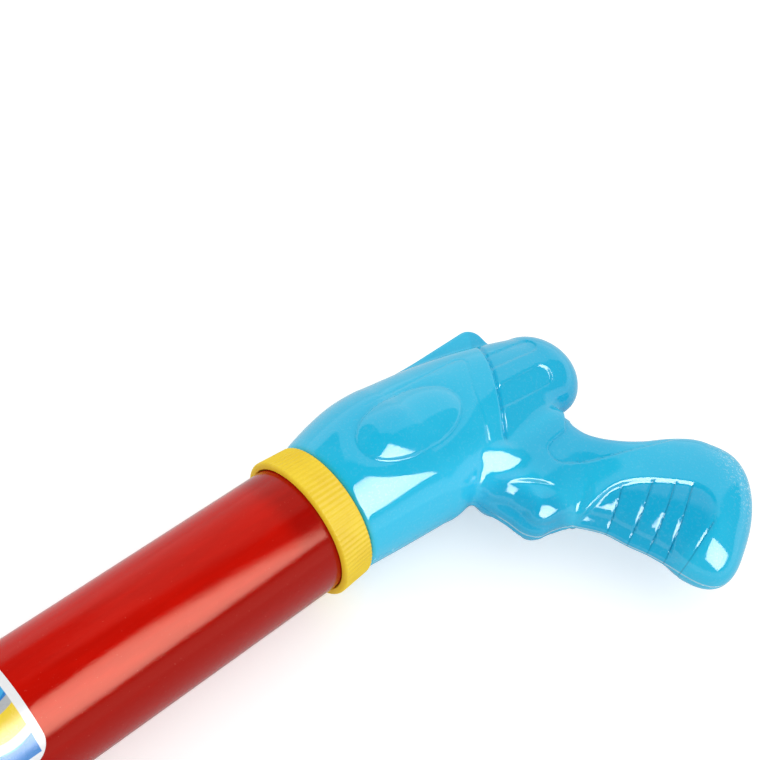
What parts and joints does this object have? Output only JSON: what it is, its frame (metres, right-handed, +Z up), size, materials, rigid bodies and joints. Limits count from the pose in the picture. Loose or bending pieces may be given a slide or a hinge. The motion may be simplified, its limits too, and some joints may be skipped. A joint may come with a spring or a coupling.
{
  "type": "water squirter",
  "caption": "Hand-pumped water squirter: a straight barrel with knurled end collars and a nozzle, drawn full and emptied by a plunger with a pistol-shaped handle.",
  "frame": {"origin": "on the surface that the squirter lies on, under the middle of its outline, as it lies on its right side", "axes": "+X along the barrel from nozzle to handle, +Y the way that is up when it is held, +Z up from the surface, out of its left side"},
  "size_m": [0.5656, 0.1426, 0.0566],
  "materials": {
    "barrel_red": "satin, slightly translucent extruded plastic",
    "label_film": "printed film with a plain geometric design",
    "collar_yellow": "satin moulded plastic with fine ribs",
    "white_plastic": "plain moulded plastic",
    "handle_blue": "high gloss moulded plastic",
    "black_rubber": "matte rubber",
    "steel": "plain bright steel"
  },
  "bodies": {
    "barrel": {"barrel_tube": "barrel_red", "label": "label_film", "rear_collar": "collar_yellow", "front_collar": "collar_yellow", "rod_guide": "white_plastic", "nozzle": "handle_blue", "nozzle_gasket": "black_rubber"},
    "piston": {"piston_head": "white_plastic", "piston_seal": "black_rubber"},
    "handle": {"piston_screw": "steel", "rod_plug": "white_plastic", "plunger_rod": "white_plastic", "rod_pin": "steel", "handle_left_shell": "handle_blue", "handle_right_shell": "handle_blue", "handle_screw_1": "steel", "handle_screw_2": "steel", "handle_screw_3": "steel", "handle_screw_4": "steel", "handle_screw_5": "steel"}
  },
  "joints": [
    {"name": "plunger_slide", "type": "slide", "parent": "barrel", "child": "piston", "axis": [1, 0, 0], "range_m": [0, 0.31]},
    {"name": "handle_turn", "type": "hinge", "parent": "piston", "child": "handle", "pos_m": [-0.2227, 0.03932, 0.02832], "axis": [1, 0, 0], "continuous": true}
  ]
}
